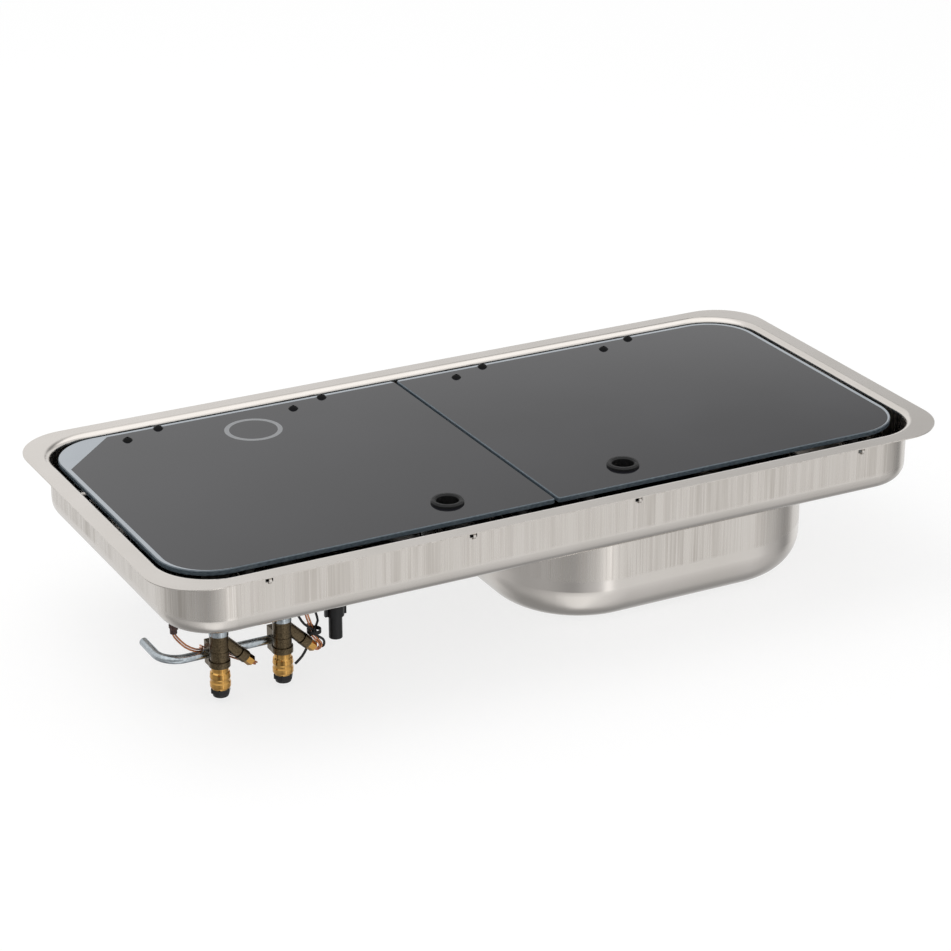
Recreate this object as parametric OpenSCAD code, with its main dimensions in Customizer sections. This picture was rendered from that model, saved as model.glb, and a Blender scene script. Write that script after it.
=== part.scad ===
// Hob and sink combination for a worktop: a pressed steel tray with a deep drawn bowl, two gas
// burners with their taps, a push-button igniter and two hinged glass lids.
// X runs along the worktop, Y to the back, Z up. The origin is the centre of the cut-out,
// on the worktop's surface, which the flange's underside rests on.

/* [Tray] */
// Length over the flange
flange_len = 775; // [740:5:900]
// Depth over the flange, front to back
flange_dep = 375; // [360:5:420]
// Outer corner radius of the flange
flange_corner_r = 50; // [35:1:60]
// Width of the flange beside the end walls
flange_end_w = 18.5; // [16:0.5:24]
// Width of the flange along the front and back walls
flange_side_w = 17.5; // [14:0.5:22]
// Steel sheet of the tray and the bowl
sheet_t = 1; // [0.8:0.1:1.2]
// Worktop surface to the underside of the tray's floor
tray_dep = 55.5; // [54:0.5:66]
// Corner radius of the tray's wall
tray_corner_r = 50; // [45:1:65]
// Outer radius of the bend between wall and floor
floor_bend_r = 16; // [8:1:18]
// Radius under the bend between wall and flange
rim_bend_r = 4.5; // [2:0.5:6]

/* [Bowl] */
// Centre of the bowl, as a share of the tray's half length
bowl_x_share = 0.378; // [0.36:0.001:0.38]
// Length of the bowl over its walls, as a share of the flange's length
bowl_len_share = 0.4103; // [0.36:0.0001:0.413]
// Depth of the bowl over its walls, as a share of the flange's depth
bowl_wid_share = 0.7227; // [0.64:0.0001:0.76]
// Worktop surface to the underside of the bowl's floor
bowl_dep = 148; // [130:1:180]
// Corner radius of the bowl's wall
bowl_corner_r = 92; // [60:1:100]
// Outer radius of the bend between the bowl's wall and floor
bowl_bend_r = 36; // [25:1:48]
// Place of the waste hole behind the bowl's centre, as a share of the bowl's depth
waste_y_share = 0.1845; // [0.1:0.0005:0.2]
// Radius of the waste hole
waste_hole_r = 22; // [18:1:26]
// Place of the tap hole, as a share of the tray's half length
tap_x_share = 0.8916; // [0.87:0.0001:0.9]
// Place of the tap hole, as a share of the tray's half depth
tap_y_share = 0.5882; // [0.4:0.0001:0.62]
// Radius of the tap hole
tap_hole_r = 16.5; // [14:0.5:17.5]

/* [Lids] */
// Gap between the lids' ends and the tray's wall
lid_end_gap = 5.5; // [4:0.5:12]
// Gap between the lids' front edge and the tray's wall
lid_front_gap = 17; // [12:0.5:20]
// Gap between the lids' back edge and the tray's wall, for the hinges
lid_back_gap = 5.5; // [5:0.5:8]
// Thickness of the glass
glass_t = 5; // [4:0.5:6]
// Depth of the glass's top below the worktop surface
glass_sunk = 1.5; // [1:0.25:3]
// Outer corner radius of the glass
glass_corner_r = 48; // [35:1:55]
// Radius of the glass's corners beside the middle gap
glass_seam_r = 3; // [2:0.5:6]
// Place of the middle gap along the tray
seam_x = -9.5; // [-20:0.5:0]
// Width of the middle gap
seam_w = 3; // [2:0.5:5]
// Finger hole's distance from the middle gap
finger_in = 86; // [60:1:110]
// Finger hole's distance from the glass's front edge
finger_back = 37; // [28:0.5:50]
// Radius of the finger hole in its grommet
finger_r = 10; // [9:0.5:11]
// Height of the grommet above the glass
grommet_up = 3; // [2:0.5:6]

/* [Burners] */
// Centre of the rear burner, as a share of the tray's half length
rear_burner_x_share = -0.7263; // [-0.73:0.0001:-0.715]
// Centre of the rear burner, as a share of the tray's half depth
rear_burner_y_share = 0.3647; // [0.32:0.0001:0.376]
// Centre of the front burner, as a share of the tray's half length
front_burner_x_share = -0.271; // [-0.28:0.001:-0.266]
// Centre of the front burner, as a share of the tray's half depth
front_burner_y_share = -0.1764; // [-0.22:0.0001:-0.16]
// Radius of the burner's crown
crown_r = 35; // [30:1:38]
// Side of the pan support's square frame between rod centres, as a share of the flange's length
support_share = 0.1961; // [0.18:0.0001:0.198]
// Diameter of the pan support's rod
support_rod_d = 5; // [4:0.5:6]

/* [Gas taps] */
// Place of the left tap, as a share of the tray's half length
left_tap_share = -0.832; // [-0.84:0.001:-0.82]
// Distance between the two taps
tap_pitch = 58.5; // [52:0.5:60]
// Row of the taps and the igniter, as a share of the tray's half depth
tap_row_share = -0.5824; // [-0.61:0.0001:-0.56]
// Worktop surface to the bottom of the taps
taps_dep = 144; // [140:1:160]
// Outer diameter of the gas rail
rail_d = 8; // [6:1:10]
// Distance of the rail behind the taps
rail_back = 13.5; // [12.5:0.5:15]
// Diameter of the knobs
knob_d = 36; // [30:1:40]
// Push travel of knobs and igniter button
push_travel = 3; // [2:0.5:4]

/* [Igniter] */
// Place of the igniter, as a share of the tray's half length
igniter_share = -0.5366; // [-0.545:0.0001:-0.53]
// Diameter of the igniter's body
igniter_d = 12; // [10:0.5:13]
// Worktop surface to the bottom of the igniter
igniter_dep = 114; // [110:0.5:130]

/* [Hidden] */
$fn = 64;

// Overrun of every cut
over = 1;
// Clearance of a shaft in its hole
run_gap = 0.05;
// Clearance between pieces that lie on each other across a joint
seat_gap = 0.3;
// Clearance of a piece put in a hole
slip_gap = 0.2;

// Outer half sizes of the tray's wall
tray_hx = flange_len / 2 - flange_end_w;
tray_hy = flange_dep / 2 - flange_side_w;
floor_under = -tray_dep;
floor_top = floor_under + sheet_t;
wall_in_y = tray_hy - sheet_t;

// A length to the nearest hundredth
function hundredth(v) = round(v * 100) / 100;

// Places and sizes that follow the tray
bowl_x = hundredth(bowl_x_share * tray_hx);
bowl_len = 2 * hundredth(bowl_len_share * flange_len / 2);
bowl_wid = 2 * hundredth(bowl_wid_share * flange_dep / 2);
waste_y = hundredth(waste_y_share * bowl_wid);
tap_x = hundredth(tap_x_share * tray_hx);
tap_y = hundredth(tap_y_share * tray_hy);
lids_len = 2 * (tray_hx - sheet_t - lid_end_gap);
lid_back_y = wall_in_y - lid_back_gap;
lid_dep = 2 * wall_in_y - lid_front_gap - lid_back_gap;
rear_burner_x = hundredth(rear_burner_x_share * tray_hx);
rear_burner_y = hundredth(rear_burner_y_share * tray_hy);
front_burner_x = hundredth(front_burner_x_share * tray_hx);
front_burner_y = hundredth(front_burner_y_share * tray_hy);
support_side = 2 * hundredth(support_share * flange_len / 2);
left_tap_x = hundredth(left_tap_share * tray_hx);
tap_row_y = hundredth(tap_row_share * tray_hy);
igniter_x = hundredth(igniter_share * tray_hx);

// Bridges lanced in the long walls, for the worktop clips
lance_x_shares = [-0.785, -0.273, 0.168, 0.802];
lance_down = 10.5;
lance_w = 7;
lance_h = 3.2;
lance_out = 2.2;
lance_strap_w = 2.4;
lance_step = 0.3;

// Bowl
bowl_hx = bowl_len / 2;
bowl_hy = bowl_wid / 2;
bowl_rim_r = 4;
weld_land = 3;
bowl_floor_under = -bowl_dep;
waste_land = 10;
waste_seat_r = waste_hole_r + waste_land;
waste_seat_drop = 1.5;
strainer_t = 1;
strainer_gap = 0.5;
strainer_hole_r = 1.8;
strainer_ring_shares = [0.24, 0.48, 0.72];
strainer_ring_holes = [6, 12, 18];
strainer_knob_r = 4;
strainer_knob_h = 5;

// Lids
glass_top = -glass_sunk;
glass_under = glass_top - glass_t;
lid_front_y = lid_back_y - lid_dep;
finger_y = lid_front_y + finger_back;
left_finger_x = seam_x - seam_w / 2 - finger_in;
right_finger_x = seam_x + seam_w / 2 + finger_in;
grommet_neck = 1.6;
glass_hole_r = finger_r + grommet_neck;
grommet_wall = 1.4;
grommet_lip = 4.6;
grommet_flange_r = finger_r + grommet_lip;
grommet_down = 2.5;
grommet_bevel = 1.4;
// Hinges: distance from the middle gap, as a share of the lid's length
left_hinge_shares = [0.7408, 0.2748];
right_hinge_shares = [0.1976, 0.6331];
left_lid_len = lids_len / 2 + seam_x;
right_lid_len = lids_len / 2 - seam_x;
barrel_r = 2;
barrel_len = 20;
hinge_down = 2.7;
hinge_y = wall_in_y - seat_gap - barrel_r;
hinge_z = glass_top - hinge_down;
pin_r = 1;
pin_head_r = 1.7;
pin_head_h = 0.8;
leaf_t = 1.5;
leaf_side = 8;
leaf_front = 8;
leaf_in = 1;
screw_step_x = 35;
screw_step_y = 13;
screw_in_y = 19.5;
screw_r = 2.4;
screw_hole_r = 2.6;
screw_head_r = 4.8;
screw_head_h = 3;
screw_nut_w = 8;
screw_nut_h = 3;
knuckle_len = 4.5;
bracket_t = 1.2;
bracket_low = 20;
// Rests of the lids on the front wall: distance from the middle gap, as a share of the lid's length
left_rest_shares = [0.8187, 0.0907];
right_rest_shares = [0.0914, 0.836];
rest_w = 14;
rest_t = 1.5;
rest_reach = 29;
rest_leg = 18;
rest_drop = 5.5;
buffer_r = 5;
buffer_in = 7;

// Burners
cup_flange_r = 33;
cup_flange_t = 2.5;
cup_body_r = 26;
cup_body_low = 30;
cup_foot_r = 14;
cup_foot_h = 8;
cup_wall = 3;
cup_boss_r = 7;
cup_boss_out = 12;
cup_boss_low = 18.5;
crown_h = 18;
crown_step = 5;
crown_port_w = 1.8;
crown_port_h = 4;
crown_ports = 24;
crown_wall = 6;
cap_h = 7;
cap_edge_r = 2;
cap_over = 1.5;
side_part_out = 7.5;
electrode_r = 3;
electrode_tip_r = 1.2;
electrode_low = 6;
electrode_up = 17;
electrode_tip_h = 6;
probe_r = 2.4;
probe_tip_h = 7;
probe_up = 16;
probe_low = 4.5;
injector_hex = 8;
injector_h = 9;
injector_r = 2.5;

// Pan supports
foot_h = 5;
foot_r = 5;
support_corner_r = 12;
support_bend_r = 7;
support_top = -14;
finger_end_r = 20;

// Taps
cover_r = 8.6;
cover_flange_w = 15;
cover_flange_l = 36;
cover_flange_t = 3;
cover_h = 35;
cover_recess_r = 7;
cover_recess_h = 9.5;
tap_body_r = 8.2;
tap_body_h = 24;
tap_band_r = 8.6;
tap_band_h = 1.2;
tap_band_share = 0.62;
tap_ring_r = 9.3;
tap_ring_h = 5.5;
union_h = 20.5;
union_neck_r = 7.6;
union_groove_r = 8.6;
union_body_r = 9.1;
union_notch = 1.6;
union_shares = [0, 0.27, 0.34, 0.43, 0.5, 0.72, 0.78, 1];
cap_hex_r = 9;
cap_low_r = 6.8;
cap_hex_h = 4.2;
cap_tot_h = 7.5;
branch_deg = 45;
branch_drop = 3;
branch_r = 5.4;
branch_len = 24;
branch_groove_r = 4;
branch_groove_len = 1.6;
branch_end_r = 5.6;
branch_end_len = 8;
magnet_nut_r = 4.9;
magnet_nut_len = 7.5;
screw_m4_r = 2;
screw_m4_head_r = 3.6;
screw_m4_head_h = 2.4;
cover_screw_out = 13.5;
seat_out_r = 6;
seat_t = 1.5;
seat_down = 2.5;
spindle_r = 3;
spindle_low = 22;
spindle_up = 31;
knob_r = knob_d / 2;
knob_lift = 6;
knob_skirt_h = 5;
knob_body_r = 13;
knob_h = 27;
knob_wall = 3;
knob_grip_w = 9;
knob_mark_w = 1.6;
knob_mark_d = 0.8;
seal_r = 9.5;
seal_h = 2;
panel_hole_r = 7;

// Gas rail and feed pipes
rail_drop_share = 0.7605;
rail_z = -taps_dep * rail_drop_share;
rail_y = tap_row_y + rail_back;
rail_bend_r = 20;
rail_out = 25;
rail_tail = 26;
rail_wall = 1;
clamp_w = 11;
clamp_dep = 13;
clamp_h = 22;
clamp_up = 11;
pipe_r = 4;
pipe_bend_r = 15;
pipe_z = floor_under - cup_boss_low;
pipe_turn_y = -25;
feed_nut_w = 14;
feed_nut_l = 8;

// Igniter
igniter_nut_r = 7.8;
igniter_nut_h = 14;
igniter_nut_up = 21;
igniter_ear = 2.2;
igniter_hole_r = 8;
button_r = 7;
button_h = 12;
button_up = 3.5;
button_neck_r = 3.2;
terminal_w = 3;
terminal_t = 1.6;
terminal_z = -70;
terminal_len = 3.2;
bracket_plate_t = 1.2;
bracket_plate_hw = 11;
bracket_plate_back = 9.5;
bracket_foot = 14;

// Leads that the object holds all the way: hand-chosen points
strand_r = 0.8;
strand_out = 1;
spark_lead_r = 1.1;
lead_sides = 8;
lead_gap = 0.3;
left_lead_route = [
  [-279.5, -99, -117], [-276, -99, -120.5], [-273.2, -98, -122.2], [-273.4, -94.5, -123],
  [-278, -91.6, -121.8], [-284, -89, -119.5], [-291, -82.5, -117.5], [-299, -76.5, -115],
  [-311, -75, -109.5], [-316.3, -78.5, -105], [-317.3, -85, -102.8], [-320.5, -92, -101.3],
  [-328, -96.3, -98], [-337, -97.8, -91.5], [-344.5, -99, -82.5], [-348.2, -101.3, -76.5],
  [-348.6, -101.5, -72],
  [-348.6, -101.5, -67], [-347.5, -97, -61.5], [-345, -80, -59.5], [-340, -40, -59.5],
  [-324, 25, -60], [-312, 54, -65], [-310.5, 61, -66.5], [-310.5, 62, -60.4]
];
right_lead_route = [
  [-221, -99, -117], [-218, -99, -120], [-215.5, -99.2, -121.2], [-213.3, -100, -119],
  [-214, -101, -115.4], [-217.9, -100.9, -110], [-221.3, -100, -104.5], [-221.5, -100, -99.5],
  [-223.5, -100, -92.9], [-226, -100, -84.6], [-227, -97, -73], [-224, -88, -62.5],
  [-212, -78, -59.5], [-190, -68, -59.5], [-140, -72, -60], [-110, -73, -66.5],
  [-101, -72.5, -67], [-100, -72.5, -60.4]
];
spark_lead_routes = [
  [[-238, 32, -62], [-238, 31, -66.5], [-236, 10, -66], [-234, -60, -64], [-235, -90, -70],
   [-235, -99, -79], [-233.5, -101.8, -86], [-229, -102.3, -93.5], [-223.8, -103, -98],
   [-221.2, -103.2, -101], [-220, -103.2, -104.2], [-216.2, -103.4, -107.8], [-212.3, -102.8, -111],
   [-210, -101, -115], [-209.8, -99.2, -119.5], [-211.3, -96.6, -121], [-213, -95.3, -116],
   [-214.4, -95.6, -110], [-216.3, -97.6, -105], [-216.8, -98, -101], [-214.3, -98, -95],
   [-216.2, -98, -87],
   [-217, -97, -80], [-212, -93, -75], [-206, -91.3, -75], [-204, -91.2, -70.6]],
  [[-130, 0, -62], [-131, -1, -67], [-150, -20, -63.5], [-178, -70, -63], [-185.5, -86, -66],
   [-186, -92, -71.5], [-192, -91.6, -76], [-198, -91.2, -76], [-200, -91.2, -70.6]]
];
tie_centre = [-219.1, -100.4, -102.5];
tie_r = 5.5;
tie_t = 0.8;
tie_w = 3.4;
tie_head = [4, 5, 5];
tie_tail_w = 2.4;
tie_tail_t = 0.9;
tie_tail_route = [
  [-219, -92, -103], [-219, -91.2, -112], [-221.5, -91.2, -121], [-227, -92, -129],
  [-234, -92, -135]
];
clip_in = 20.4;
clip_back = -2.5;
clip_at = [clip_in - tray_hx, tap_row_y + clip_back];
clip_sleeve_r = 3.1;
clip_bore_r = 2.5;
clip_z = -75;
clip_len = 8;
clip_collar_r = 3.9;
clip_collar_h = 2.5;
clip_strap = [6, 1.2];

// Colours of the pieces
steel_c = "#c9c5bd";
zinc_c = "#a9adb0";
alu_c = "#b9bcbf";
brass_c = "#c9a254";
bronze_c = "#6b5a45";
copper_c = "#b4683f";
black_c = "#1c1c1e";
glass_c = "#4c4e52";
brown_c = "#3c2a22";
ceramic_c = "#e8e4da";

// A rectangle with round corners, centred
module round_rect(hx, hy, r) {
  square([2 * hx, 2 * (hy - r)], center = true);
  square([2 * (hx - r), 2 * hy], center = true);
  for (sx = [-1, 1], sy = [-1, 1]) translate([sx * (hx - r), sy * (hy - r)]) circle(r);
}

// The profile given as a child, run round a rounded rectangle; x = r is the outline itself
module run_round(hx, hy, r) {
  for (k = [0, 1]) {
    half_run = k == 0 ? hy - r : hx - r;
    out = k == 0 ? hx - r : hy - r;
    for (m = [0, 1]) rotate([0, 0, 90 * k + 180 * m]) {
      translate([out, half_run, 0]) rotate([90, 0, 0]) linear_extrude(2 * half_run) children();
    }
  }
  for (k = [0 : 3]) {
    sx = (k == 0 || k == 3) ? 1 : -1;
    sy = k < 2 ? 1 : -1;
    translate([sx * (hx - r), sy * (hy - r), 0]) rotate([0, 0, 90 * k]) {
      rotate_extrude(angle = 90) children();
    }
  }
}

// A quarter of a ring in the given quadrant
module quarter_ring(r_in, r_out, sx, sy) {
  intersection() {
    difference() {
      circle(r_out);
      circle(r_in);
    }
    translate([sx > 0 ? 0 : -r_out, sy > 0 ? 0 : -r_out]) square(r_out);
  }
}

// The section of a pressed pan's side: floor bend, wall and rim bend
module side_section(r, top, low, bend, rim) {
  translate([r - bend, low + bend]) quarter_ring(bend - sheet_t, bend, 1, -1);
  translate([r - sheet_t, low + bend]) square([sheet_t, top - rim - low - bend]);
  translate([r + rim, top - rim]) quarter_ring(rim, rim + sheet_t, -1, 1);
}

// A pan's flat floor, inside its bend
module pan_floor(hx, hy, r, low, bend) {
  translate([0, 0, low]) linear_extrude(sheet_t) round_rect(hx - bend, hy - bend, r - bend);
}

// A hole through the tray's floor
module floor_hole(x, y, r) {
  translate([x, y, floor_under - over]) cylinder(r = r, h = sheet_t + 2 * over);
}

// The window of a lanced bridge and the bridge's strap, on the front wall
module lance_window(x) {
  translate([x - lance_w / 2, -tray_hy - over, -lance_down - lance_h / 2])
    cube([lance_w, sheet_t + 2 * over, lance_h]);
}

module lance_strap(x) {
  translate([x - lance_strap_w / 2, -tray_hy, -lance_down]) rotate([90, 0, 90]) {
    linear_extrude(lance_strap_w) intersection() {
      difference() {
        circle(lance_h / 2 + lance_step + sheet_t);
        circle(lance_h / 2 + lance_step);
      }
      translate([-lance_out - sheet_t, -lance_h])
        square([lance_out + 3 * sheet_t / 2, 2 * lance_h]);
    }
  }
}

module tap_place(k) {
  translate([left_tap_x + k * tap_pitch, tap_row_y, 0]) children();
}

// The flat flange of the pressed sheet
module tray_flange() {
  color(steel_c) linear_extrude(sheet_t) difference() {
    round_rect(flange_len / 2, flange_dep / 2, flange_corner_r);
    round_rect(tray_hx + rim_bend_r, tray_hy + rim_bend_r, tray_corner_r + rim_bend_r);
  }
}

// The walls of the same sheet with the bends to its flange and floor
module tray_walls() {
  color(steel_c) {
    difference() {
      run_round(tray_hx, tray_hy, tray_corner_r)
        side_section(tray_corner_r, 0, floor_under, floor_bend_r, rim_bend_r);
      for (m = [0, 1]) mirror([0, m, 0]) for (s = lance_x_shares) lance_window(s * tray_hx);
    }
    for (m = [0, 1]) mirror([0, m, 0]) for (s = lance_x_shares) lance_strap(s * tray_hx);
  }
}

// The flat floor of the same pressed sheet, with its holes
module tray_floor() {
  electrode_at = [for (b = burners()) [b[0] + b[3][0], b[1] + b[3][1]]];
  probe_at = [for (b = burners()) [b[0] + b[4][0], b[1] + b[4][1]]];
  color(steel_c) difference() {
    pan_floor(tray_hx, tray_hy, tray_corner_r, floor_under, floor_bend_r);
    translate([bowl_x, 0, floor_under - over]) linear_extrude(sheet_t + 2 * over)
      round_rect(bowl_hx + bowl_rim_r + weld_land, bowl_hy + bowl_rim_r + weld_land,
                 bowl_corner_r + bowl_rim_r + weld_land);
    for (b = burners()) floor_hole(b[0], b[1], cup_body_r + slip_gap);
    for (p = electrode_at) floor_hole(p[0], p[1], electrode_r + slip_gap);
    for (p = probe_at) floor_hole(p[0], p[1], probe_r + slip_gap);
    for (k = [0, 1]) tap_place(k) {
      floor_hole(0, 0, panel_hole_r);
      for (s = [-1, 1]) floor_hole(0, s * cover_screw_out, screw_m4_r + slip_gap);
    }
    floor_hole(igniter_x, tap_row_y, igniter_d / 2 + slip_gap);
    floor_hole(tap_x, tap_y, tap_hole_r);
  }
}

module sink_bowl() {
  color(steel_c) translate([bowl_x, 0, 0]) {
    difference() {
      union() {
        run_round(bowl_hx, bowl_hy, bowl_corner_r)
          side_section(bowl_corner_r, floor_under, bowl_floor_under, bowl_bend_r, bowl_rim_r);
        pan_floor(bowl_hx, bowl_hy, bowl_corner_r, bowl_floor_under, bowl_bend_r);
        translate([0, 0, floor_under]) linear_extrude(sheet_t) difference() {
          round_rect(bowl_hx + bowl_rim_r + weld_land, bowl_hy + bowl_rim_r + weld_land,
                     bowl_corner_r + bowl_rim_r + weld_land);
          round_rect(bowl_hx + bowl_rim_r, bowl_hy + bowl_rim_r, bowl_corner_r + bowl_rim_r);
        }
      }
      translate([0, waste_y, bowl_floor_under - over]) cylinder(r = waste_seat_r, h = sheet_t + 2 * over);
    }
    translate([0, waste_y, bowl_floor_under - waste_seat_drop]) rotate_extrude() {
      translate([waste_hole_r, 0]) square([waste_seat_r - waste_hole_r, sheet_t]);
      translate([waste_seat_r - sheet_t, 0]) square([sheet_t, waste_seat_drop + sheet_t]);
      translate([waste_seat_r - over, waste_seat_drop]) square([over + over, sheet_t]);
    }
  }
}

module waste_strainer() {
  strainer_r = waste_seat_r - sheet_t - strainer_gap;
  color(zinc_c) translate([bowl_x, waste_y, bowl_floor_under - waste_seat_drop + sheet_t]) {
    difference() {
      union() {
        cylinder(r = strainer_r, h = strainer_t);
        cylinder(r = strainer_knob_r, h = strainer_knob_h);
      }
      for (i = [0 : len(strainer_ring_shares) - 1]) {
        n = strainer_ring_holes[i];
        for (k = [0 : n - 1]) rotate([0, 0, 360 * k / n])
          translate([strainer_knob_r + (strainer_r - strainer_knob_r) * strainer_ring_shares[i] + over, 0, -over])
            cylinder(r = strainer_hole_r, h = strainer_t + 2 * over);
      }
    }
  }
}

// Places of the lid rests along the tray
rest_xs = concat([for (v = left_rest_shares) seam_x - v * left_lid_len],
                 [for (v = right_rest_shares) seam_x + v * right_lid_len]);

module lid_rests() {
  rest_top = glass_under - rest_drop;
  color(steel_c) for (x = rest_xs) translate([x - rest_w / 2, -wall_in_y, rest_top - rest_t]) {
    cube([rest_w, rest_reach, rest_t]);
    translate([0, 0, -rest_leg]) cube([rest_w, rest_t, rest_leg]);
  }
}

module lid_buffers() {
  rest_top = glass_under - rest_drop;
  color(black_c) for (x = rest_xs)
    translate([x, -wall_in_y + rest_reach - buffer_in, rest_top])
      cylinder(r = buffer_r, h = rest_drop - seat_gap);
}

// Places of the hinges along the tray
left_hinge_xs = [for (v = left_hinge_shares) hundredth(seam_x - v * left_lid_len)];
right_hinge_xs = [for (v = right_hinge_shares) hundredth(seam_x + v * right_lid_len)];

module hinge_brackets() {
  knuckle_in = barrel_len / 2 + seat_gap;
  half = knuckle_in + knuckle_len;
  low = hinge_z - bracket_low;
  color(black_c) for (x = concat(left_hinge_xs, right_hinge_xs)) translate([x, 0, 0]) {
    translate([-half, wall_in_y - bracket_t, low])
      cube([2 * half, bracket_t, bracket_low - barrel_r - seat_gap]);
    for (s = [-1, 1]) translate([s > 0 ? knuckle_in : -half, 0, 0]) difference() {
      union() {
        translate([0, hinge_y, low]) cube([knuckle_len, wall_in_y - hinge_y, bracket_low]);
        translate([0, hinge_y, hinge_z]) rotate([0, 90, 0]) cylinder(r = barrel_r, h = knuckle_len);
      }
      translate([-over, hinge_y, hinge_z]) rotate([0, 90, 0])
        cylinder(r = pin_r + run_gap, h = knuckle_len + 2 * over);
    }
  }
}

module hinge_pins() {
  half = barrel_len / 2 + knuckle_len + 2 * seat_gap;
  color(zinc_c) for (x = concat(left_hinge_xs, right_hinge_xs))
    translate([x, hinge_y, hinge_z]) rotate([0, 90, 0]) {
      translate([0, 0, -half]) cylinder(r = pin_r, h = 2 * half);
      for (s = [0, 1]) mirror([0, 0, s]) translate([0, 0, half]) cylinder(r = pin_head_r, h = pin_head_h);
    }
}

// Outline of a lid with its corner at the origin: large corners at x = 0, small ones beside the gap
module lid_outline(w, d, r_out, r_seam) {
  translate([r_out, 0]) square([w - r_out - r_seam, d]);
  translate([0, r_out]) square([r_out, d - 2 * r_out]);
  translate([w - r_seam, r_seam]) square([r_seam, d - 2 * r_seam]);
  for (y = [r_out, d - r_out]) translate([r_out, y]) circle(r_out);
  for (y = [r_seam, d - r_seam]) translate([w - r_seam, y]) circle(r_seam);
}

function screw_places(x) = [
  [x - screw_step_x / 2, lid_back_y - screw_in_y],
  [x + screw_step_x / 2, lid_back_y - screw_in_y + screw_step_y]
];

module lid_glass(side, hinge_xs, finger_x) {
  w = lids_len / 2 + side * -seam_x - seam_w / 2;
  color(glass_c) translate([0, 0, glass_under]) linear_extrude(glass_t) difference() {
    translate([seam_x + side * (seam_w / 2 + w), lid_front_y]) mirror([side > 0 ? 1 : 0, 0])
      lid_outline(w, lid_dep, glass_corner_r, glass_seam_r);
    translate([finger_x, finger_y]) circle(glass_hole_r);
    for (x = hinge_xs, p = screw_places(x)) translate(p) circle(screw_hole_r);
  }
}

module lid_leaves(hinge_xs) {
  leaf_y = lid_back_y - screw_in_y - leaf_front;
  tongue_y = hinge_y - barrel_r;
  color(black_c) for (x = hinge_xs) difference() {
    union() {
      translate([x - screw_step_x / 2 - leaf_side, leaf_y, glass_under - leaf_t])
        cube([screw_step_x + 2 * leaf_side, lid_back_y - leaf_in - leaf_y, leaf_t]);
      translate([x - barrel_len / 2, leaf_y, glass_under - leaf_t])
        cube([barrel_len, tongue_y + leaf_t - leaf_y, leaf_t]);
      translate([x - barrel_len / 2, tongue_y, glass_under - leaf_t])
        cube([barrel_len, leaf_t, hinge_z - glass_under + leaf_t]);
      translate([x - barrel_len / 2, hinge_y, hinge_z]) rotate([0, 90, 0])
        cylinder(r = barrel_r, h = barrel_len);
    }
    translate([x - barrel_len / 2 - over, hinge_y, hinge_z]) rotate([0, 90, 0])
      cylinder(r = pin_r + run_gap, h = barrel_len + 2 * over);
    for (p = screw_places(x)) translate([p[0], p[1], glass_under - leaf_t - over])
      cylinder(r = screw_hole_r, h = leaf_t + 2 * over);
  }
}

// A button-head screw with its nut under the leaf
module lid_screws(hinge_xs) {
  dome_r = (screw_head_r * screw_head_r + screw_head_h * screw_head_h) / (2 * screw_head_h);
  nut_top = glass_under - leaf_t;
  color(black_c) for (x = hinge_xs, p = screw_places(x)) translate([p[0], p[1], 0]) {
    translate([0, 0, glass_top]) difference() {
      rotate_extrude() intersection() {
        square([screw_head_r, screw_head_h]);
        translate([0, screw_head_h - dome_r]) circle(dome_r);
      }
      translate([0, 0, screw_head_h / 2]) cylinder(r = screw_r / 2, h = screw_head_h, $fn = 6);
    }
    translate([0, 0, nut_top - screw_nut_h]) {
      cylinder(r = screw_r, h = glass_top - nut_top + screw_nut_h);
      cylinder(d = screw_nut_w, h = screw_nut_h, $fn = 6);
    }
  }
}

// A rubber ring with a flange on each side of the glass
module lid_grommet(x) {
  neck_r = glass_hole_r - slip_gap;
  top = glass_top + grommet_up;
  low = glass_under - grommet_down;
  color(black_c) translate([x, finger_y, 0]) rotate_extrude() polygon([
    [finger_r, low], [grommet_flange_r - grommet_bevel, low], [grommet_flange_r, low + grommet_bevel],
    [grommet_flange_r, glass_under], [neck_r, glass_under], [neck_r, glass_top],
    [grommet_flange_r, glass_top], [grommet_flange_r, top - grommet_bevel],
    [grommet_flange_r - grommet_bevel, top], [finger_r + grommet_bevel, top],
    [finger_r, top - grommet_bevel]
  ]);
}

// Each burner: centre, turn of its gas inlet, place of its electrode, place of its probe
side_part_r = crown_r + side_part_out;
function burners() = [
  [rear_burner_x, rear_burner_y, -90, side_part_r * [cos(-45), sin(-45)], side_part_r * [-1, 0]],
  [front_burner_x, front_burner_y, 180, side_part_r * [-cos(45), sin(45)], side_part_r * [0, -1]]
];

module burner_cup(b) {
  low = floor_under - cup_body_low;
  boss_z = floor_under - cup_boss_low;
  color(alu_c) translate([b[0], b[1], 0]) difference() {
    union() {
      translate([0, 0, floor_top]) cylinder(r = cup_flange_r, h = cup_flange_t);
      translate([0, 0, low]) cylinder(r = cup_body_r, h = floor_top - low + cup_flange_t / 2);
      translate([0, 0, low - cup_foot_h]) cylinder(r1 = cup_foot_r, r2 = cup_body_r, h = cup_foot_h);
      translate([0, 0, boss_z]) rotate([0, 90, b[2]]) cylinder(r = cup_boss_r, h = cup_body_r + cup_boss_out);
    }
    translate([0, 0, low]) cylinder(r = cup_body_r - cup_wall, h = floor_top + cup_flange_t - low + over);
    translate([0, 0, boss_z]) rotate([0, 90, b[2]])
      cylinder(r = pipe_r - rail_wall, h = cup_body_r + cup_boss_out + over);
  }
}

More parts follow.
